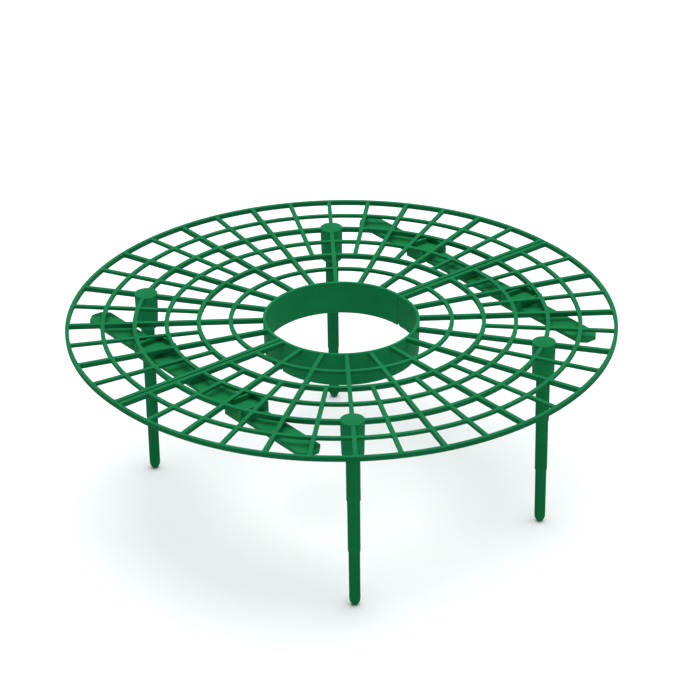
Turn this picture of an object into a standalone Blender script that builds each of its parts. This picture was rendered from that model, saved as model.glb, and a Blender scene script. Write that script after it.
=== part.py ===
"""Strawberry plant support: a round growing net on four push-in legs.

Two identical moulded net halves meet along a straight seam.  Each half has a
deep collar round the plant opening and two closed sockets.  Two connecting
clips run across the seam below the net and plug into its cells.  Four legs
push up into the sockets.

Units are metres, +Z is up, the seam runs along X, and the origin is at the
bottom centre, level with the tips of the legs.
"""
import math

import bmesh
import bpy

# overall sizes
NET_TOP = 0.1125
NET_RADIUS = 0.150
HALF_SHIFT = 0.0018
GAP = 0.0003

# the bars of the net
BAR_WIDTH = 0.0020
THIN_HEIGHT = 0.0016
TALL_HEIGHT = 0.0026
BAR_STEP = 0.0001
BANDS = 6
OUTER_BAND = 0.0194
FINE_SECTORS = 20
ARC_PIECES = 2
PAST_SEAM = 0.0020

# the collar round the plant opening
COLLAR_RADIUS = 0.0420
COLLAR_WALL = 0.0018
COLLAR_DRAFT = 0.0004
COLLAR_DEPTH = 0.0190
LIP_RISE = 0.0002

# the leg sockets
SOCKET_SECTOR = 6
SOCKET_RADIUS = 0.0065
SOCKET_DRAFT = 0.0005
SOCKET_DEPTH = 0.0205
SOCKET_CHAMFER = 0.0007
CAP_THICKNESS = 0.0020

# the legs
LEG_RADIUS = 0.0038
LEG_TAPER = 0.00005
STEP_ONE_AT = 0.0645
STEP_TWO_AT = 0.0335
STEP_ONE = 0.00036
STEP_TWO = 0.00032
TIP_LENGTH = 0.0046
TIP_ROUND = 0.0008
TIP_WAIST = 0.0019
TIP_FLAT = 0.0013
FLUTE_WIDTH = 0.0014
FLUTE_DEPTH = 0.0005
FLUTE_END = 0.0060

# the connecting clips
CLIP_LENGTH = 0.197
CLIP_WIDTH = 0.014
CLIP_DROP = 0.0052
CLIP_PLATE = 0.0013
CLIP_SKIRT = 0.0021
CLIP_WALL = 0.0012
CLIP_CORNER = 0.0040
CUP_LENGTH = 0.018
CUP_WIDTH = 0.014
CUP_WALL = 0.0013
CUP_RIM_DROP = 0.0009
CUP_SEAT = 0.0038
CUP_FLOOR = 0.0016
CUP_DEPTH = 0.0080

# faces that meet at less than this angle are one flat face, and points closer
# than this distance are one point
FLAT_ANGLE = math.radians(0.05)
WELD = 0.00001

# sizes that follow from the ones above
BAR_HALF = BAR_WIDTH / 2
RIM_CENTRE = NET_RADIUS - BAR_HALF
RING_STEP = (RIM_CENTRE - OUTER_BAND - COLLAR_RADIUS) / (BANDS - 1)
RINGS = [COLLAR_RADIUS + RING_STEP * i for i in range(BANDS)] + [RIM_CENTRE]
SECTOR = math.pi / FINE_SECTORS
SOCKET_RING = RINGS[4]
SOCKET_ANGLE = SOCKET_SECTOR * SECTOR
SOCKET_X = SOCKET_RING * math.cos(SOCKET_ANGLE)
SOCKET_Y = HALF_SHIFT + SOCKET_RING * math.sin(SOCKET_ANGLE)
CUP_ANGLE = 2.5 * SECTOR
CUP_RING = (RINGS[3] + RINGS[4]) / 2
CUP_X = CUP_RING * math.cos(CUP_ANGLE)
CUP_Y = HALF_SHIFT + CUP_RING * math.sin(CUP_ANGLE)
BORE_RADIUS = LEG_RADIUS + GAP
BORE_TOP = NET_TOP - CAP_THICKNESS
LEG_LENGTH = BORE_TOP - GAP


def clear_scene():
    """Remove everything that is in the opened file."""
    for obj in list(bpy.data.objects):
        bpy.data.objects.remove(obj, do_unlink=True)


def new_collection(name):
    """Make a collection and hang it under the scene."""
    group = bpy.data.collections.new(name)
    bpy.context.scene.collection.children.link(group)
    return group


def plastic(name, colour, roughness):
    """One plain moulded plastic."""
    material = bpy.data.materials.new(name)
    material.use_nodes = True
    shader = material.node_tree.nodes["Principled BSDF"]
    shader.inputs["Base Color"].default_value = (*colour, 1.0)
    shader.inputs["Roughness"].default_value = roughness
    material.diffuse_color = (*colour, 1.0)
    return material


def mesh_of(source, name, group):
    """Turn an evaluated curve or modified mesh into a plain closed mesh."""
    graph = bpy.context.evaluated_depsgraph_get()
    graph.update()
    mesh = bpy.data.meshes.new_from_object(source.evaluated_get(graph))
    mesh.transform(source.matrix_world)
    body = bmesh.new()
    body.from_mesh(mesh)
    bmesh.ops.remove_doubles(body, verts=body.verts, dist=1e-6)
    bmesh.ops.recalc_face_normals(body, faces=body.faces)
    body.to_mesh(mesh)
    body.free()
    bpy.data.objects.remove(source, do_unlink=True)
    obj = bpy.data.objects.new(name, mesh)
    mesh.name = name
    group.objects.link(obj)
    return obj


def flat_shape(name, loops, low, high, group):
    """Fill closed outlines, the inner ones as holes, and extrude them."""
    curve = bpy.data.curves.new(name, "CURVE")
    curve.dimensions = "2D"
    curve.fill_mode = "BOTH"
    curve.extrude = (high - low) / 2
    for loop in loops:
        spline = curve.splines.new("POLY")
        spline.points.add(len(loop) - 1)
        for point, (x, y) in zip(spline.points, loop):
            point.co = (x, y, 0.0, 1.0)
        spline.use_cyclic_u = True
    source = bpy.data.objects.new(name + ".outline", curve)
    source.location.z = (high + low) / 2
    group.objects.link(source)
    bpy.context.view_layer.update()
    return mesh_of(source, name, group)


def box(name, centre, size, group, turn=0.0):
    """A rectangular block, turned about Z."""
    mesh = bpy.data.meshes.new(name)
    body = bmesh.new()
    bmesh.ops.create_cube(body, size=1.0)
    for vertex in body.verts:
        x = vertex.co.x * size[0]
        y = vertex.co.y * size[1]
        vertex.co.x = centre[0] + x * math.cos(turn) - y * math.sin(turn)
        vertex.co.y = centre[1] + x * math.sin(turn) + y * math.cos(turn)
        vertex.co.z = centre[2] + vertex.co.z * size[2]
    body.to_mesh(mesh)
    body.free()
    obj = bpy.data.objects.new(name, mesh)
    group.objects.link(obj)
    return obj


def turned(name, profile, steps, group, place=(0.0, 0.0), closed=False):
    """Revolve a profile of (radius, height) points about a vertical axis."""
    mesh = bpy.data.meshes.new(name)
    body = bmesh.new()
    verts = [body.verts.new((r, 0.0, z)) for r, z in profile]
    for first, second in zip(verts, verts[1:]):
        body.edges.new((first, second))
    if closed:
        body.edges.new((verts[-1], verts[0]))
    body.to_mesh(mesh)
    body.free()
    source = bpy.data.objects.new(name + ".profile", mesh)
    source.location = (place[0], place[1], 0.0)
    group.objects.link(source)
    screw = source.modifiers.new("Screw", "SCREW")
    screw.axis = "Z"
    screw.angle = 2 * math.pi
    screw.steps = steps
    screw.render_steps = steps
    screw.use_merge_vertices = True
    screw.merge_threshold = 0.00001
    screw.use_normal_calculate = True
    bpy.context.view_layer.update()
    return mesh_of(source, name, group)


def combine(target, tools, operation):
    """Apply one exact Boolean per tool and throw the tools away."""
    for tool in tools:
        step = target.modifiers.new("Boolean", "BOOLEAN")
        step.operation = operation
        step.solver = "EXACT"
        step.object = tool
        bpy.context.view_layer.update()
        graph = bpy.context.evaluated_depsgraph_get()
        mesh = bpy.data.meshes.new_from_object(target.evaluated_get(graph))
        target.modifiers.clear()
        old = target.data
        target.data = mesh
        bpy.data.meshes.remove(old)
        mesh.name = target.name
        bpy.data.objects.remove(tool, do_unlink=True)
    return target


def arc(radius, start, end):
    """Points on an arc, with the fixed angles of the net between its ends."""
    step = SECTOR / ARC_PIECES
    low = min(start, end)
    high = max(start, end)
    first = math.ceil(low / step + 0.1)
    last = math.floor(high / step - 0.1)
    angles = [low] + [i * step for i in range(first, last + 1)] + [high]
    if end < start:
        angles.reverse()
    return [(radius * math.cos(a), HALF_SHIFT + radius * math.sin(a)) for a in angles]


def cell(inner, outer, start, end, half_width):
    """One opening between two rings and two spokes of even width."""
    near = math.asin(half_width / inner)
    far = math.asin(half_width / outer)
    return arc(inner, start + near, end - near) + arc(outer, end - far, start + far)


def net_outline(inner, outer, below):
    """The half disc of the net, run on past the seam to be cut off later."""
    drop = below + HALF_SHIFT
    far = math.asin(drop / outer)
    near = math.asin(drop / inner)
    return arc(outer, -far, math.pi + far) + arc(inner, math.pi + near, -near)


def thin_loops():
    """Outline and openings of the upper layer, with every bar in it."""
    root = COLLAR_RADIUS - COLLAR_WALL / 2
    loops = [net_outline(root, NET_RADIUS, PAST_SEAM)]
    for band in range(BANDS):
        inner = RINGS[band] + BAR_HALF
        if band == 0:
            inner = COLLAR_RADIUS - COLLAR_WALL / 4
        outer = RINGS[band + 1] - BAR_HALF
        stride = 2 if band < 2 else 1
        for k in range(0, FINE_SECTORS, stride):
            loops.append(cell(inner, outer, k * SECTOR, (k + stride) * SECTOR, BAR_HALF))
    return loops


def tall_loops():
    """Outline and openings of the lower layer, with the main bars only."""
    half = BAR_HALF - BAR_STEP
    root = COLLAR_RADIUS - COLLAR_WALL * 0.6
    loops = [net_outline(root, NET_RADIUS - BAR_STEP, PAST_SEAM + BAR_STEP)]
    for low in (0, 2, 4):
        inner = RINGS[low] + half
        if low == 0:
            inner = COLLAR_RADIUS - COLLAR_WALL / 3
        outer = RINGS[low + 2] - half
        for k in range(0, FINE_SECTORS, 2):
            loops.append(cell(inner, outer, k * SECTOR, (k + 2) * SECTOR, half))
    return loops


def collar_profile():
    """Closed section of the collar wall, thinner at its lower edge."""
    top = NET_TOP + LIP_RISE
    low = NET_TOP - COLLAR_DEPTH
    inner = COLLAR_RADIUS - COLLAR_WALL
    return [
        (COLLAR_RADIUS, top),
        (COLLAR_RADIUS - COLLAR_DRAFT, low),
        (inner, low),
        (inner, top),
    ]


def socket_profile():
    """Section of a leg socket before its bore is cut."""
    top = NET_TOP + LIP_RISE
    low = NET_TOP - SOCKET_DEPTH
    narrow = SOCKET_RADIUS - SOCKET_DRAFT
    return [
        (0.0, top),
        (SOCKET_RADIUS - LIP_RISE, top),
        (SOCKET_RADIUS, top - LIP_RISE),
        (narrow, low + SOCKET_CHAMFER),
        (narrow - SOCKET_CHAMFER, low),
        (0.0, low),
    ]


def bore_profile():
    """Section of the blind bore, run on past the socket's mouth."""
    mouth = NET_TOP - SOCKET_DEPTH - SOCKET_RADIUS
    return [(0.0, BORE_TOP), (BORE_RADIUS, BORE_TOP), (BORE_RADIUS, mouth), (0.0, mouth)]


def net_half(name, turn, group, work):
    """One moulded half of the net, with its half of the collar and two sockets."""
    net = flat_shape(name, thin_loops(), NET_TOP - THIN_HEIGHT, NET_TOP, group)
    main = flat_shape("main_bars", tall_loops(), NET_TOP - TALL_HEIGHT, NET_TOP - THIN_HEIGHT / 2, work)
    wall = turned("collar", collar_profile(), 2 * FINE_SECTORS * ARC_PIECES, work, (0.0, HALF_SHIFT), True)
    sockets = []
    bores = []
    for side in (-1, 1):
        place = (side * SOCKET_X, SOCKET_Y)
        sockets.append(turned("socket", socket_profile(), 24, work, place))
        bores.append(turned("bore", bore_profile(), 24, work, place))
    combine(net, [main, wall] + sockets, "UNION")
    size = (NET_RADIUS * 4, NET_RADIUS, NET_TOP)
    seam = box("seam_cut", (0.0, (GAP - NET_RADIUS) / 2, NET_TOP), size, work)
    combine(net, bores + [seam], "DIFFERENCE")
    rotate_mesh(net, turn)
    return net


def rotate_mesh(obj, turn):
    """Turn the vertices of a mesh about Z."""
    c = math.cos(turn)
    s = math.sin(turn)
    for vertex in obj.data.vertices:
        x = vertex.co.x
        y = vertex.co.y
        vertex.co.x = c * x - s * y
        vertex.co.y = s * x + c * y


def leg_profile():
    """Section of a leg, with heights below the top of its plug."""
    low = -LEG_LENGTH
    wide = LEG_RADIUS
    one = wide - STEP_ONE
    two = one - STEP_TWO
    first = low + STEP_ONE_AT
    second = low + STEP_TWO_AT
    blend = STEP_ONE * 2
    return [
        (0.0, 0.0),
        (wide - GAP, 0.0),
        (wide, -GAP),
        (wide, first),
        (one, first - blend),
        (one - LEG_TAPER, second),
        (two - LEG_TAPER, second - blend),
        (two - 2 * LEG_TAPER, low + TIP_LENGTH),
        (TIP_WAIST, low + TIP_ROUND),
        (TIP_FLAT, low),
        (0.0, low),
    ]


def leg(name, place, group, work):
    """One leg: a round stepped stake with four long flutes below the socket."""
    stake = turned(name, leg_profile(), 16, group)
    top = -(SOCKET_DEPTH - CAP_THICKNESS)
    low = -LEG_LENGTH + FLUTE_END
    narrow = LEG_RADIUS - STEP_ONE - STEP_TWO - 2 * LEG_TAPER
    lean = math.atan((LEG_RADIUS - narrow) / (top - low))
    tools = []
    for quarter in range(4):
        tools.append(flute(quarter * math.pi / 2, top, low, narrow, lean, work))
    combine(stake, tools, "DIFFERENCE")
    stake.location = (place[0], place[1], LEG_LENGTH)
    return stake


def flute(turn, top, low, narrow, lean, group):
    """A long cutter whose inner face leans with the taper of the leg."""
    mesh = bpy.data.meshes.new("flute")
    body = bmesh.new()
    bmesh.ops.create_cube(body, size=1.0)
    wide_floor = LEG_RADIUS - FLUTE_DEPTH
    low_floor = narrow - FLUTE_DEPTH
    for vertex in body.verts:
        upper = vertex.co.z > 0
        outer = vertex.co.x > 0
        floor = wide_floor if upper else low_floor
        x = LEG_RADIUS * 2 if outer else floor
        y = vertex.co.y * FLUTE_WIDTH
        vertex.co.z = top - FLUTE_WIDTH if upper else low
        vertex.co.x = x * math.cos(turn) - y * math.sin(turn)
        vertex.co.y = x * math.sin(turn) + y * math.cos(turn)
    body.to_mesh(mesh)
    body.free()
    obj = bpy.data.objects.new("flute", mesh)
    group.objects.link(obj)
    return obj


def strip_outline(half_width, half_length, corner):
    """A long strip with its four corners cut off."""
    return [
        (half_width - corner, -half_length),
        (half_width, -half_length + corner),
        (half_width, half_length - corner),
        (half_width - corner, half_length),
        (corner - half_width, half_length),
        (-half_width, half_length - corner),
        (-half_width, corner - half_length),
        (corner - half_width, -half_length),
    ]


def moved(loop, dx):
    """Shift an outline along X."""
    return [(x + dx, y) for x, y in loop]


def bar_cutters(left, front, work):
    """Room for the four bars round the cell that a cup plugs into."""
    turn = math.pi if front else 0.0
    across = left != front
    cutters = []
    high = NET_TOP + TALL_HEIGHT
    for ring in (3, 4):
        height = TALL_HEIGHT if ring % 2 == 0 else THIN_HEIGHT
        half = BAR_HALF + GAP
        start = 0.0
        end = 5 * SECTOR
        if across:
            start, end = math.pi - end, math.pi - start
        loop = arc(RINGS[ring] + half, start, end) + arc(RINGS[ring] - half, end, start)
        low = NET_TOP - height - GAP
        cutters.append(flat_shape("ring_room", [loop], low, high, work))
    for sector in (2, 3):
        height = TALL_HEIGHT if sector % 2 == 0 else THIN_HEIGHT
        angle = sector * SECTOR
        if across:
            angle = math.pi - angle
        low = NET_TOP - height - GAP
        reach = CUP_RING
        centre = (reach * math.cos(angle), HALF_SHIFT + reach * math.sin(angle), (low + high) / 2)
        size = (RING_STEP * 3, BAR_WIDTH + 2 * GAP, high - low)
        cutters.append(box("spoke_room", centre, size, work, angle))
    for cutter in cutters:
        rotate_mesh(cutter, turn)
    return cutters


def clip(name, side, group, work):
    """One connecting clip: a rimmed strip with a hollow plug for a cell of each half."""
    x = side * CUP_X
    top = NET_TOP - CLIP_DROP
    outline = strip_outline(CLIP_WIDTH / 2, CLIP_LENGTH / 2, CLIP_CORNER)
    strip = flat_shape(name, [moved(outline, x)], top - CLIP_SKIRT, top, group)
    inner = strip_outline(CLIP_WIDTH / 2 - CLIP_WALL, CLIP_LENGTH / 2 - CLIP_WALL, CLIP_CORNER - CLIP_WALL / 2)
    hollow = flat_shape("channel", [moved(inner, x)], top - CLIP_SKIRT * 2, top - CLIP_PLATE, work)
    combine(strip, [hollow], "DIFFERENCE")
    rim = NET_TOP - CUP_RIM_DROP
    seat = NET_TOP - CUP_SEAT
    low = NET_TOP - CUP_DEPTH
    cups = []
    pockets = []
    cutters = []
    for end in (-1, 1):
        y = end * CUP_Y
        cups.append(box("cup", (x, y, (rim + low) / 2), (CUP_LENGTH, CUP_WIDTH, rim - low), work))
        size = (CUP_LENGTH - 2 * CUP_WALL, CUP_WIDTH - 2 * CUP_WALL, CUP_DEPTH)
        pockets.append(box("pocket", (x, y, seat + CUP_DEPTH / 2), size, work))
        pockets.append(box("hollow", (x, y, seat - CUP_FLOOR - CUP_DEPTH / 2), size, work))
        cutters.extend(bar_cutters(side < 0, end < 0, work))
    combine(strip, cups, "UNION")
    combine(strip, pockets + cutters, "DIFFERENCE")
    return strip


def smooth_round(obj, limit):
    """Shade smooth and keep the edges sharper than the limit."""
    for face in obj.data.polygons:
        face.use_smooth = True
    body = bmesh.new()
    body.from_mesh(obj.data)
    for edge in body.edges:
        edge.smooth = edge.calc_face_angle(0.0) < limit
    body.to_mesh(obj.data)
    body.free()


def finish(obj, material, limit):
    """Give a finished piece its material and shading."""
    body = bmesh.new()
    body.from_mesh(obj.data)
    bmesh.ops.dissolve_limit(body, angle_limit=FLAT_ANGLE, verts=body.verts, edges=body.edges)
    bmesh.ops.remove_doubles(body, verts=body.verts, dist=WELD)
    bmesh.ops.dissolve_degenerate(body, edges=body.edges, dist=WELD / 10)
    body.to_mesh(obj.data)
    body.free()
    obj.data.materials.clear()
    obj.data.materials.append(material)
    smooth_round(obj, limit)


def build():
    """Build the whole support."""
    clear_scene()
    group = new_collection("strawberry_plant_support")
    work = new_collection("cutters")
    net_green = plastic("net_green_plastic", (0.030, 0.262, 0.104), 0.38)
    clip_green = plastic("clip_green_plastic", (0.024, 0.225, 0.080), 0.40)
    leg_green = plastic("leg_green_plastic", (0.022, 0.190, 0.078), 0.42)
    limit = math.radians(30)
    finish(net_half("net_half_back", 0.0, group, work), net_green, limit)
    finish(net_half("net_half_front", math.pi, group, work), net_green, limit)
    finish(clip("connecting_clip_left", -1, group, work), clip_green, limit)
    finish(clip("connecting_clip_right", 1, group, work), clip_green, limit)
    for row, y in (("back", SOCKET_Y), ("front", -SOCKET_Y)):
        for side, x in (("left", -SOCKET_X), ("right", SOCKET_X)):
            finish(leg("leg_" + row + "_" + side, (x, y), group, work), leg_green, limit)
    bpy.data.collections.remove(work)
    bpy.context.view_layer.update()


build()
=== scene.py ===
import math

import bmesh
import bpy
from mathutils import Matrix, Vector


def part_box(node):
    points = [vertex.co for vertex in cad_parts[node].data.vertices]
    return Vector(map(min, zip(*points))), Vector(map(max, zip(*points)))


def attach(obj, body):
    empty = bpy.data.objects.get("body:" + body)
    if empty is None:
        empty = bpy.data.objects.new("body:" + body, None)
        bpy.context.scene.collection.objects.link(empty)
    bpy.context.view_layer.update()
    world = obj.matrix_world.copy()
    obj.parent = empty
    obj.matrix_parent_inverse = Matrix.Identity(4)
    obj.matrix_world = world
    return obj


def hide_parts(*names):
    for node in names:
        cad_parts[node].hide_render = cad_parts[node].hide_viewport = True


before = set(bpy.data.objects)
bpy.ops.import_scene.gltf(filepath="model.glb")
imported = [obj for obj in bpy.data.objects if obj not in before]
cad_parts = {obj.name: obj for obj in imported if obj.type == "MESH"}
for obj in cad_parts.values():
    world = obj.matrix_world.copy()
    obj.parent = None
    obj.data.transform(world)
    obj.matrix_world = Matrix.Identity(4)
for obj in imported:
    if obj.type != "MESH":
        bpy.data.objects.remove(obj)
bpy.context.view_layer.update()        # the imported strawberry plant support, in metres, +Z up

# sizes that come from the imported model
NET_LOW, NET_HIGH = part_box("net_half_back")
STAKE_LOW, STAKE_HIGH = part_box("leg_back_right")
NET_RADIUS = NET_HIGH.x
HALF_SHIFT = NET_HIGH.y - NET_RADIUS
SEAM = NET_LOW.y
SOCKET_LOW = NET_LOW.z
LEG_RADIUS = (STAKE_HIGH.x - STAKE_LOW.x) / 2
LEG_LENGTH = STAKE_HIGH.z - STAKE_LOW.z
SOCKET_X = (STAKE_HIGH.x + STAKE_LOW.x) / 2
SOCKET_Y = (STAKE_HIGH.y + STAKE_LOW.y) / 2

# the bars of the net: all are in its upper layer, and every second ring and spoke is a main bar,
# which a slightly narrower lower layer makes deeper; the first WIDE_BANDS have main spokes only
LIP_RISE = 0.0002
NET_TOP = NET_HIGH.z - LIP_RISE
BAR_WIDTH = 0.0020
THIN_HEIGHT = 0.0016
TALL_HEIGHT = 0.0026
BAR_STEP = 0.0001
BAR_EDGE = 0.00014
CELL_CORNER = 0.0006
BANDS = 6
WIDE_BANDS = 2
MAIN_EVERY = 2
OUTER_BAND = 0.0194
FINE_SECTORS = 20
ARC_PIECES = 4

# the shown bars stand BAR_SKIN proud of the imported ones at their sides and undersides, to look
# nearly as bold as in the photograph, and inside the rim they end SEAM_RECESS further from the
# seam, where the photograph shows a dark gap
BAR_SKIN = 0.00015
SEAM_RECESS = 0.0003

# the collar round the plant opening, its lower corners notched at the seam; a point of its section
# within NOTCH_MATCH of the notch's top belongs to both faces of each of its ends
COLLAR_RADIUS = 0.0420
COLLAR_WALL = 0.0018
COLLAR_DRAFT = 0.0004
COLLAR_DEPTH = 0.0190
COLLAR_EDGE = 0.00045
COLLAR_STEPS = 96
NOTCH_WIDTH = 0.0010
NOTCH_HEIGHT = 0.0045
NOTCH_MATCH = 0.0002

# the sockets, with GAP between a leg and its bore
GAP = 0.0003
SOCKET_RADIUS = 0.0065
SOCKET_DRAFT = 0.0005
SOCKET_CHAMFER = 0.0007
SOCKET_EDGE = 0.00025
SOCKET_STEPS = 48
MOUTH_CHAMFER = 0.0002
CAP_THICKNESS = 0.0020

# the legs, each with two steps, a blunt tip and four flutes
LEG_TAPER = 0.00005
STEP_ONE_AT = 0.0645
STEP_TWO_AT = 0.0335
STEP_ONE = 0.00036
STEP_TWO = 0.00032
STEP_SLOPE = 0.00072
STEP_EDGE = 0.0003
TIP_LENGTH = 0.0041
TIP_ROUND = 0.0008
TIP_WAIST = 0.0021
TIP_FLAT = 0.0015
TIP_EDGE = 0.0009
TIP_BULGE = 0.0003
LEG_STEPS = 64
LEG_RINGS = 90
RING_MERGE = 0.00003

# a flute has half its depth at FLUTE_WIDTH, and fades out at FLUTE_SHOULDER times that width
FLUTES = 4
FLUTE_WIDTH = 0.0014
FLUTE_SHOULDER = 1.5
FLUTE_DEPTH = 0.0005
FLUTE_END = 0.0060
FLUTE_RINGS = 4

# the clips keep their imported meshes, and a modifier rounds their edges
CLIP_EDGE = 0.00025
CLIP_EDGE_STEPS = 2
CLIP_WELD = 0.000002
CLIP_EDGE_ANGLE = math.radians(30)

# steps in each rounded corner, the turn above which an outline's corner is rounded, the angles
# above which the edge between two faces stays sharp in shading, and the distance within which
# points are one
CORNER_STEPS = 3
CORNER_TURN = math.radians(40)
SHARP_ANGLE = math.radians(35)
LEG_SHARP_ANGLE = math.radians(50)
WELD = 0.000001

# the slots of the net's three materials (its own green on level faces, a lighter copy of it as painted
# light on the collar's and sockets' walls, and a darker copy as painted shade on the bars' sides and
# undersides), and the rise of a normal above which a face is level
TOP_SLOT = 0
PAINTED_LIGHT_SLOT = 1
PAINTED_SHADE_SLOT = 2
LEVEL = 0.6

# the moulded plastic: how far flow marks tint it, the tint's two stops as place and brightness,
# and how far its gloss varies with the flow marks
FLOW_SHARE = 0.35
TINT_STOPS = ((0.45, 0.90), (0.90, 1.08))
FLOW_RANGE = (0.30, 0.70)
SMOOTHER = 0.05
ROUGHER = 0.07
PLASTIC_IOR = 1.49

# the studio
FLOOR_REACH = 6.0
FLOOR_CELLS = 8
FLOOR_DROP = 0.0002
FLOOR_SHADES = (0.795, 0.820)
LAMP_SIZE = 2.8
LAMP_POWER = 81.0
LAMP_PLACE = (0.26, 0.06, 2.33)
ROOM_COLOUR = (0.90, 0.97, 1.0, 1.0)
ROOM_STRENGTH = 0.55

# the camera: where it stands round the middle of the net, how far its aim lies to the right of
# and below that middle as a share of the distance, and its focal length and picture width in the
# photograph's pixels
CAMERA_ELEVATION = math.radians(27.57)
CAMERA_SWING = math.radians(37.96)
CAMERA_ROLL = math.radians(-0.80)
CAMERA_DISTANCE = 1.4998
AIM_RIGHT = 0.00303
AIM_DOWN = 0.01206
FOCAL_LENGTH = 2735.4
PICTURE_WIDTH = 700.0
SENSOR_WIDTH = 36.0
NEAR_CLIP = 0.05
FAR_CLIP = 40.0

# sizes that follow from the ones above
BAR_HALF = BAR_WIDTH / 2 + BAR_SKIN
RIM_CENTRE = NET_RADIUS - BAR_WIDTH / 2
RING_STEP = (RIM_CENTRE - OUTER_BAND - COLLAR_RADIUS) / (BANDS - 1)
RINGS = [COLLAR_RADIUS + RING_STEP * i for i in range(BANDS)] + [RIM_CENTRE]
SECTOR = math.pi / FINE_SECTORS
SEAM_DROP = HALF_SHIFT - SEAM
BORE_RADIUS = LEG_RADIUS + GAP
BORE_TOP = NET_TOP - CAP_THICKNESS
FLUTE_TOP = SOCKET_LOW - FLUTE_WIDTH
FLUTE_TURN = 2 * math.pi / FLUTES

# where each layer of bars is rooted in the collar's wall, and where its first openings start
THIN_ROOT = COLLAR_RADIUS - COLLAR_WALL / 2
THIN_START = COLLAR_RADIUS - COLLAR_WALL / 4
TALL_ROOT = COLLAR_RADIUS - COLLAR_WALL * 0.6
TALL_START = COLLAR_RADIUS - COLLAR_WALL / 3


def arc(radius, start, end):
    """Points on an arc round the centre of the back half."""
    count = max(2, math.ceil(abs(end - start) / (SECTOR / ARC_PIECES)))
    angles = [start + (end - start) * i / count for i in range(count + 1)]
    return [Vector((radius * math.cos(a), HALF_SHIFT + radius * math.sin(a))) for a in angles]


def rounded(loop, radius):
    """Replace the sharp corners of a closed outline with small arcs."""
    out = []
    for i, point in enumerate(loop):
        before = (loop[i - 1] - point).normalized()
        after = (loop[(i + 1) % len(loop)] - point).normalized()
        turn = math.pi - before.angle(after)
        if turn < CORNER_TURN:
            out.append(point)
            continue
        back = radius * math.tan(turn / 2)
        centre = point + (before + after).normalized() * (radius / math.cos(turn / 2))
        first = point + before * back - centre
        last = point + after * back - centre
        swing = first.angle_signed(last)
        for k in range(CORNER_STEPS + 1):
            a = -swing * k / CORNER_STEPS
            x = first.x * math.cos(a) - first.y * math.sin(a)
            y = first.x * math.sin(a) + first.y * math.cos(a)
            out.append(centre + Vector((x, y)))
    return out


def cell(inner, outer, start, end, half):
    """One opening between two rings and two spokes of even width."""
    near = math.asin(half / inner)
    far = math.asin(half / outer)
    loop = arc(inner, start + near, end - near) + arc(outer, end - far, start + far)
    return rounded(loop, CELL_CORNER)


def half_disc(inner, outer, drop):
    """The outline of one half of the net, set back from the seam inside its rim."""
    far = math.asin(drop / outer)
    near = math.asin((drop - SEAM_RECESS) / inner)
    rim = RIM_CENTRE - BAR_HALF
    low = HALF_SHIFT - drop
    step = [Vector((rim, low + SEAM_RECESS)), Vector((rim, low))]
    left = [Vector((-point.x, point.y)) for point in reversed(step)]
    return arc(outer, -far, math.pi + far) + left + arc(inner, math.pi + near, -near) + step


def thin_loops():
    """Outline and openings of the upper layer, with every bar in it."""
    loops = [half_disc(THIN_ROOT, NET_RADIUS, SEAM_DROP)]
    for band in range(BANDS):
        inner = RINGS[band] + BAR_HALF if band else THIN_START
        outer = RINGS[band + 1] - BAR_HALF
        stride = MAIN_EVERY if band < WIDE_BANDS else 1
        for k in range(0, FINE_SECTORS, stride):
            loops.append(cell(inner, outer, k * SECTOR, (k + stride) * SECTOR, BAR_HALF))
    return loops


def tall_loops():
    """Outline and openings of the lower layer, with the main bars only."""
    half = BAR_HALF - BAR_STEP
    loops = [half_disc(TALL_ROOT, NET_RADIUS - BAR_STEP, SEAM_DROP - BAR_STEP)]
    for band in range(0, BANDS, MAIN_EVERY):
        inner = RINGS[band] + half if band else TALL_START
        outer = RINGS[band + MAIN_EVERY] - half
        for k in range(0, FINE_SECTORS, MAIN_EVERY):
            loops.append(cell(inner, outer, k * SECTOR, (k + MAIN_EVERY) * SECTOR, half))
    return loops


def add_flat(body, loops, low, high, edge):
    """Fill outlines, the inner ones as holes, between two heights, with rounded edges."""
    curve = bpy.data.curves.new("outline", "CURVE")
    curve.dimensions = "2D"
    curve.fill_mode = "BOTH"
    curve.extrude = (high - low) / 2 - edge
    curve.bevel_depth = edge
    curve.bevel_resolution = 1
    curve.offset = -edge
    for loop in loops:
        spline = curve.splines.new("POLY")
        spline.points.add(len(loop) - 1)
        for point, place in zip(spline.points, loop):
            point.co = (place.x, place.y, 0.0, 1.0)
        spline.use_cyclic_u = True
    source = bpy.data.objects.new("outline", curve)
    bpy.context.scene.collection.objects.link(source)
    bpy.context.view_layer.update()
    graph = bpy.context.evaluated_depsgraph_get()
    mesh = bpy.data.meshes.new_from_object(source.evaluated_get(graph))
    mesh.transform(Matrix.Translation((0.0, 0.0, (high + low) / 2)))
    # every face of the bars starts in the slot of painted shade; net_half moves their level faces to the
    # net's own green
    mesh.polygons.foreach_set("material_index", [PAINTED_SHADE_SLOT] * len(mesh.polygons))
    body.from_mesh(mesh)
    bpy.data.objects.remove(source, do_unlink=True)
    bpy.data.curves.remove(curve)
    bpy.data.meshes.remove(mesh)


def softened(profile):
    """Round an open profile of (radius, height, rounding) points where the rounding isn't 0."""
    out = [Vector(profile[0][:2])]
    for previous, here, following in zip(profile, profile[1:], profile[2:]):
        point = Vector(here[:2])
        rounding = here[2]
        if not rounding:
            out.append(point)
            continue
        before = (Vector(previous[:2]) - point).normalized()
        after = (Vector(following[:2]) - point).normalized()
        turn = math.pi - before.angle(after)
        back = rounding * math.tan(turn / 2)
        for k in range(CORNER_STEPS + 1):
            t = k / CORNER_STEPS
            out.append(point + before * back * (1 - t) ** 2 + after * back * t ** 2)
    out.append(Vector(profile[-1][:2]))
    return out


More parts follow.
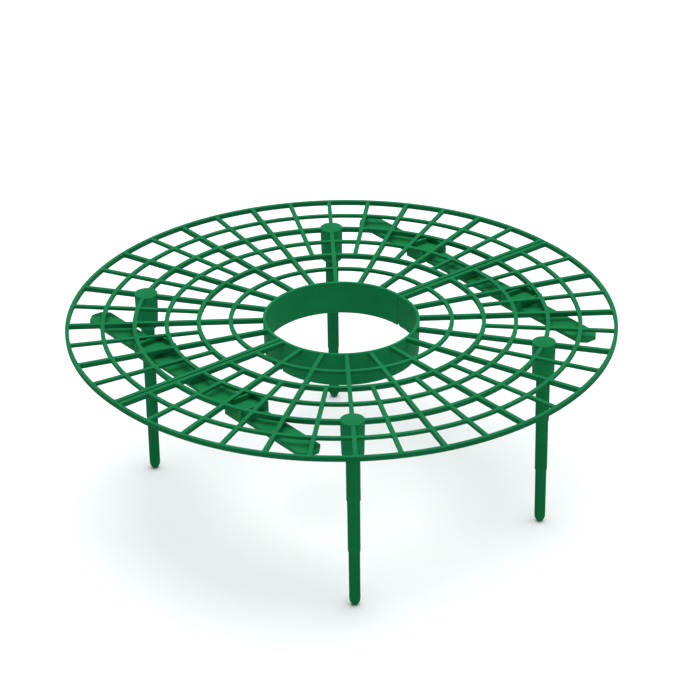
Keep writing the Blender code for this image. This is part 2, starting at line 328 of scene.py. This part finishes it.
def ring(body, place, radius, height, steps):
    """A closed ring of vertices about a vertical axis."""
    angles = [2 * math.pi * k / steps for k in range(steps)]
    x, y = place
    return [body.verts.new((x + radius * math.cos(a), y + radius * math.sin(a), height)) for a in angles]


def add_turned(body, profile, steps, place):
    """Revolve a profile that starts and ends on its axis."""
    rows = [ring(body, place, r, z, steps) for r, z in profile[1:-1]]
    first = body.verts.new((place[0], place[1], profile[0][1]))
    last = body.verts.new((place[0], place[1], profile[-1][1]))
    for k in range(steps):
        n = (k + 1) % steps
        body.faces.new((first, rows[0][n], rows[0][k]))
        body.faces.new((last, rows[-1][k], rows[-1][n]))
        for low, high in zip(rows, rows[1:]):
            body.faces.new((low[k], low[n], high[n], high[k]))


def socket_profile():
    """Section of a leg socket with its blind bore, from the cap to the bore's roof."""
    top = NET_TOP + LIP_RISE
    narrow = SOCKET_RADIUS - SOCKET_DRAFT
    outside = softened([
        (0.0, top, 0.0),
        (SOCKET_RADIUS, top, SOCKET_EDGE),
        (narrow, SOCKET_LOW + SOCKET_CHAMFER, SOCKET_EDGE),
        (narrow - SOCKET_CHAMFER, SOCKET_LOW, SOCKET_EDGE),
        (BORE_RADIUS + MOUTH_CHAMFER, SOCKET_LOW, 0.0),
    ])
    inside = [(BORE_RADIUS, SOCKET_LOW + MOUTH_CHAMFER), (BORE_RADIUS, BORE_TOP), (0.0, BORE_TOP)]
    return outside + [Vector(point) for point in inside]


def add_collar(body):
    """Sweep the collar's wall round one half, its edges rounded and notched below at the seam."""
    top = NET_TOP + LIP_RISE
    low = NET_TOP - COLLAR_DEPTH
    notch = low + NOTCH_HEIGHT
    inner = COLLAR_RADIUS - COLLAR_WALL
    outer = COLLAR_RADIUS - COLLAR_DRAFT
    profile = softened([
        (inner, notch, 0.0),
        (inner, top, COLLAR_EDGE),
        (COLLAR_RADIUS, top, COLLAR_EDGE),
        (outer, notch, 0.0),
        (outer, low, COLLAR_EDGE),
        (inner, low, COLLAR_EDGE),
        (inner, notch, 0.0),
    ])[:-1]
    rows = []
    for r, z in profile:
        below = max(0.0, (notch - z) / NOTCH_HEIGHT)
        turn = math.asin((SEAM_DROP - NOTCH_WIDTH * below) / r)
        row = []
        for k in range(COLLAR_STEPS + 1):
            a = -turn + (math.pi + 2 * turn) * k / COLLAR_STEPS
            row.append(body.verts.new((r * math.cos(a), HALF_SHIFT + r * math.sin(a), z)))
        rows.append(row)
    for near, far in zip(rows, rows[1:] + rows[:1]):
        for k in range(COLLAR_STEPS):
            wall = body.faces.new((near[k], far[k], far[k + 1], near[k + 1]))
            # the collar's faces take the lighter copy of the green, painted light
            wall.material_index = PAINTED_LIGHT_SLOT
    upper = [row for row, point in zip(rows, profile) if point.y > notch - NOTCH_MATCH]
    lower = [row for row, point in zip(rows, profile) if point.y < notch + NOTCH_MATCH]
    for part in (upper, lower):
        body.faces.new([row[0] for row in reversed(part)])
        body.faces.new([row[-1] for row in part])


def piece(name, body, material, sharp_angle=SHARP_ANGLE):
    """Turn a finished bmesh into an object with smooth shading and kept edges."""
    bmesh.ops.remove_doubles(body, verts=body.verts, dist=WELD)
    bmesh.ops.recalc_face_normals(body, faces=body.faces)
    for face in body.faces:
        face.smooth = True
    for edge in body.edges:
        edge.smooth = edge.calc_face_angle(0.0) < sharp_angle
    mesh = bpy.data.meshes.new(name)
    body.to_mesh(mesh)
    body.free()
    mesh.materials.append(material)
    obj = bpy.data.objects.new(name, mesh)
    bpy.context.scene.collection.objects.link(obj)
    return obj


def net_half(name, turn, tops, painted_light_walls, painted_shade_sides):
    """One half of the net with its collar and its two sockets: its own green on level faces, a lighter
    copy as painted light on the collar's and sockets' walls, and a darker copy as painted shade on the
    bars' sides and undersides.
    """
    body = bmesh.new()
    add_flat(body, thin_loops(), NET_TOP - THIN_HEIGHT - BAR_SKIN, NET_TOP, BAR_EDGE)
    add_flat(body, tall_loops(), NET_TOP - TALL_HEIGHT - BAR_SKIN, NET_TOP - THIN_HEIGHT / 2, BAR_EDGE)
    add_collar(body)
    for side in (-1, 1):
        add_turned(body, socket_profile(), SOCKET_STEPS, (side * SOCKET_X, SOCKET_Y))
    bmesh.ops.rotate(body, verts=body.verts, matrix=Matrix.Rotation(turn, 3, "Z"))
    obj = piece(name, body, tops)
    obj.data.materials.append(painted_light_walls)
    obj.data.materials.append(painted_shade_sides)
    # level faces take the net's own green; the other faces of the bars keep the darker copy, painted
    # shade, and those of the collar and sockets get the lighter copy, painted light
    for face in obj.data.polygons:
        level = face.normal.z > LEVEL
        if face.material_index == PAINTED_SHADE_SLOT and level:
            face.material_index = TOP_SLOT
        elif face.material_index == TOP_SLOT and not level:
            face.material_index = PAINTED_LIGHT_SLOT
    return obj


def stake_profile():
    """Section of a leg from its tip up, with its steps and its point softened."""
    one = LEG_RADIUS - STEP_ONE
    two = one - STEP_TWO
    return softened([
        (TIP_FLAT, 0.0, 0.0),
        (TIP_WAIST, TIP_ROUND, TIP_EDGE),
        ((TIP_WAIST + two) / 2 + TIP_BULGE, (TIP_ROUND + TIP_LENGTH) / 2, TIP_EDGE),
        (two - 2 * LEG_TAPER, TIP_LENGTH, TIP_EDGE),
        (two - LEG_TAPER, STEP_TWO_AT - STEP_SLOPE, STEP_EDGE),
        (one - LEG_TAPER, STEP_TWO_AT, STEP_EDGE),
        (one, STEP_ONE_AT - STEP_SLOPE, STEP_EDGE),
        (LEG_RADIUS, STEP_ONE_AT, STEP_EDGE),
        (LEG_RADIUS, LEG_LENGTH - GAP, 0.0),
        (LEG_RADIUS - GAP, LEG_LENGTH, 0.0),
    ])


def stake_radius(profile, z):
    """Outer radius of a leg at a height above its tip."""
    for (r0, z0), (r1, z1) in zip(profile, profile[1:]):
        if z <= z1:
            return r0 + (r1 - r0) * (z - z0) / (z1 - z0)
    return profile[-1][0]


def stake_heights(profile):
    """Heights of a leg's rings: its profile's points, the ends of its flutes, and even steps."""
    marks = [point.y for point in profile]
    marks += [FLUTE_END + i * FLUTE_WIDTH / FLUTE_RINGS for i in range(FLUTE_RINGS + 1)]
    marks += [FLUTE_TOP - i * FLUTE_WIDTH / FLUTE_RINGS for i in range(FLUTE_RINGS + 1)]
    marks += [TIP_LENGTH + (LEG_LENGTH - TIP_LENGTH) * i / LEG_RINGS for i in range(1, LEG_RINGS)]
    heights = []
    for mark in sorted(marks):
        if not heights or mark - heights[-1] > RING_MERGE:
            heights.append(mark)
    return heights


def ease(x):
    """A smooth step from 0 to 1."""
    x = min(1.0, max(0.0, x))
    return x * x * (3 - 2 * x)


def leg(name, place, material):
    """One stepped round stake with four long flutes below its socket."""
    body = bmesh.new()
    profile = stake_profile()
    rows = []
    for z in stake_heights(profile):
        radius = stake_radius(profile, z)
        window = ease((z - FLUTE_END) / FLUTE_WIDTH) * ease((FLUTE_TOP - z) / FLUTE_WIDTH)
        row = []
        for k in range(LEG_STEPS):
            a = 2 * math.pi * k / LEG_STEPS
            side = (a + FLUTE_TURN / 2) % FLUTE_TURN - FLUTE_TURN / 2
            groove = ease(FLUTE_SHOULDER - abs(side) * LEG_RADIUS / (FLUTE_WIDTH / 2))
            r = radius - FLUTE_DEPTH * window * groove
            row.append(body.verts.new((place[0] + r * math.cos(a), place[1] + r * math.sin(a), z)))
        rows.append(row)
    for low, high in zip(rows, rows[1:]):
        for k in range(LEG_STEPS):
            n = (k + 1) % LEG_STEPS
            body.faces.new((low[k], low[n], high[n], high[k]))
    body.faces.new(list(reversed(rows[0])))
    body.faces.new(rows[-1])
    return piece(name, body, material, LEG_SHARP_ANGLE)


def dress_clip(node, material):
    """Give a packed clip its material and softened edges, with its mesh as packed."""
    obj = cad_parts[node]
    obj.data.materials.clear()
    obj.data.materials.append(material)
    weld = obj.modifiers.new("Weld", "WELD")
    weld.merge_threshold = CLIP_WELD
    edges = obj.modifiers.new("Edges", "BEVEL")
    edges.width = CLIP_EDGE
    edges.segments = CLIP_EDGE_STEPS
    edges.limit_method = "ANGLE"
    edges.angle_limit = CLIP_EDGE_ANGLE
    edges.use_clamp_overlap = True


def noise(tree, place, scale, detail, distortion=0.0):
    """A noise texture in an object's own coordinates."""
    texture = tree.nodes.new("ShaderNodeTexNoise")
    texture.inputs["Scale"].default_value = scale
    texture.inputs["Detail"].default_value = detail
    texture.inputs["Distortion"].default_value = distortion
    tree.links.new(place.outputs["Object"], texture.inputs["Vector"])
    return texture


def relief(tree, texture, strength, distance):
    """A bump node whose height is a texture."""
    bump = tree.nodes.new("ShaderNodeBump")
    bump.inputs["Strength"].default_value = strength
    bump.inputs["Distance"].default_value = distance
    tree.links.new(texture.outputs["Fac"], bump.inputs["Height"])
    return bump


def moulded(name, colour, roughness, gloss_level):
    """Moulded green plastic: faint flow marks, a fine grain, and satin gloss that varies."""
    material = bpy.data.materials.new(name)
    material.use_nodes = True
    tree = material.node_tree
    link = tree.links.new
    shader = tree.nodes["Principled BSDF"]
    place = tree.nodes.new("ShaderNodeTexCoord")
    cloud = noise(tree, place, scale=38.0, detail=4.0)
    flow = noise(tree, place, scale=260.0, detail=3.0, distortion=1.2)
    grain = noise(tree, place, scale=2600.0, detail=2.0)
    mixed = tree.nodes.new("ShaderNodeMath")
    mixed.operation = "MULTIPLY_ADD"
    link(flow.outputs["Fac"], mixed.inputs[0])
    mixed.inputs[1].default_value = FLOW_SHARE
    link(cloud.outputs["Fac"], mixed.inputs[2])
    tint = tree.nodes.new("ShaderNodeValToRGB")
    for stop, (position, brightness) in zip(tint.color_ramp.elements, TINT_STOPS):
        stop.position = position
        stop.color = (*[c * brightness for c in colour], 1.0)
    link(mixed.outputs["Value"], tint.inputs["Fac"])
    link(tint.outputs["Color"], shader.inputs["Base Color"])
    gloss = tree.nodes.new("ShaderNodeMapRange")
    gloss.inputs["From Min"].default_value = FLOW_RANGE[0]
    gloss.inputs["From Max"].default_value = FLOW_RANGE[1]
    gloss.inputs["To Min"].default_value = roughness - SMOOTHER
    gloss.inputs["To Max"].default_value = roughness + ROUGHER
    link(flow.outputs["Fac"], gloss.inputs["Value"])
    link(gloss.outputs["Result"], shader.inputs["Roughness"])
    waves = relief(tree, flow, strength=0.25, distance=0.0002)
    bump = relief(tree, grain, strength=0.20, distance=0.00004)
    link(waves.outputs["Normal"], bump.inputs["Normal"])
    link(bump.outputs["Normal"], shader.inputs["Normal"])
    shader.inputs["IOR"].default_value = PLASTIC_IOR
    shader.inputs["Specular IOR Level"].default_value = gloss_level
    return material


def floor_material():
    """Pale studio paper with a barely seen tooth."""
    material = bpy.data.materials.new("studio_paper")
    material.use_nodes = True
    tree = material.node_tree
    shader = tree.nodes["Principled BSDF"]
    tooth = tree.nodes.new("ShaderNodeTexNoise")
    tooth.inputs["Scale"].default_value = 60.0
    tint = tree.nodes.new("ShaderNodeValToRGB")
    for stop, shade in zip(tint.color_ramp.elements, FLOOR_SHADES):
        stop.color = (shade, shade, shade, 1.0)
    tree.links.new(tooth.outputs["Fac"], tint.inputs["Fac"])
    tree.links.new(tint.outputs["Color"], shader.inputs["Base Color"])
    shader.inputs["Roughness"].default_value = 0.9
    shader.inputs["Specular IOR Level"].default_value = 0.1
    return material


def studio():
    """A wide pale floor, one large soft light overhead and a dim even room."""
    body = bmesh.new()
    bmesh.ops.create_grid(body, x_segments=FLOOR_CELLS, y_segments=FLOOR_CELLS, size=FLOOR_REACH)
    bmesh.ops.translate(body, verts=body.verts, vec=(0.0, 0.0, -FLOOR_DROP))
    floor = piece("studio_floor", body, floor_material())
    light = bpy.data.lights.new("overhead", "AREA")
    light.shape = "DISK"
    light.size = LAMP_SIZE
    light.energy = LAMP_POWER
    lamp = bpy.data.objects.new("overhead", light)
    lamp.location = LAMP_PLACE
    lamp.rotation_euler = lamp.location.to_track_quat("Z", "Y").to_euler()
    bpy.context.scene.collection.objects.link(lamp)
    world = bpy.data.worlds.new("room")
    world.use_nodes = True
    background = world.node_tree.nodes["Background"]
    background.inputs["Color"].default_value = ROOM_COLOUR
    background.inputs["Strength"].default_value = ROOM_STRENGTH
    bpy.context.scene.world = world
    bpy.context.scene.view_settings.view_transform = "Standard"
    bpy.context.scene.view_settings.look = "None"


def square_to(ahead):
    """The directions to the right of and above a line of sight."""
    across = ahead.cross(Vector((0.0, 0.0, 1.0))).normalized()
    return across, across.cross(ahead)


def camera():
    """The photograph's viewing angle, aimed near the middle of the net."""
    level = math.cos(CAMERA_ELEVATION) * CAMERA_DISTANCE
    rise = CAMERA_DISTANCE * math.sin(CAMERA_ELEVATION)
    middle = Vector((0.0, 0.0, NET_TOP))
    place = middle + Vector((-level * math.sin(CAMERA_SWING), -level * math.cos(CAMERA_SWING), rise))
    ahead = (middle - place).normalized()
    across, upward = square_to(ahead)
    ahead = (ahead + across * AIM_RIGHT - upward * AIM_DOWN).normalized()
    across, upward = square_to(ahead)
    right = across * math.cos(CAMERA_ROLL) + upward * math.sin(CAMERA_ROLL)
    top = upward * math.cos(CAMERA_ROLL) - across * math.sin(CAMERA_ROLL)
    data = bpy.data.cameras.new("camera")
    data.sensor_width = SENSOR_WIDTH
    data.lens = SENSOR_WIDTH * FOCAL_LENGTH / PICTURE_WIDTH
    data.clip_start = NEAR_CLIP
    data.clip_end = FAR_CLIP
    obj = bpy.data.objects.new("camera", data)
    axes = Matrix((right, top, -ahead)).transposed().to_4x4()
    obj.matrix_world = Matrix.Translation(place) @ axes
    bpy.context.scene.collection.objects.link(obj)
    bpy.context.scene.camera = obj


NET_GREEN = moulded("net_green", (0.0052, 0.134, 0.044), roughness=0.56, gloss_level=0.035)
# a lighter copy of the net's green: painted light on the collar's and sockets' walls
PAINTED_LIGHT_GREEN = moulded("painted_light_green", (0.0060, 0.153, 0.0495), roughness=0.56, gloss_level=0.015)
# a darker copy of the net's green: painted shade on the bars' sides and undersides
PAINTED_SHADE_GREEN = moulded("painted_shade_green", (0.0043, 0.112, 0.037), roughness=0.58, gloss_level=0.025)
CLIP_GREEN = moulded("clip_green", (0.0053, 0.144, 0.0415), roughness=0.56, gloss_level=0.035)
LEG_GREEN = moulded("leg_green", (0.0032, 0.130, 0.040), roughness=0.56, gloss_level=0.025)

for half, turn in (("net_half_back", 0.0), ("net_half_front", math.pi)):
    shown = net_half(half + ".shown", turn, NET_GREEN, PAINTED_LIGHT_GREEN, PAINTED_SHADE_GREEN)
    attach(shown, half)
    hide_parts(half)

for row, y in (("back", SOCKET_Y), ("front", -SOCKET_Y)):
    for side, x in (("left", -SOCKET_X), ("right", SOCKET_X)):
        node = "leg_" + row + "_" + side
        shown = leg(node + ".shown", (x, y), LEG_GREEN)
        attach(shown, node)
        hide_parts(node)

for node in ("connecting_clip_left", "connecting_clip_right"):
    dress_clip(node, CLIP_GREEN)

studio()
camera()
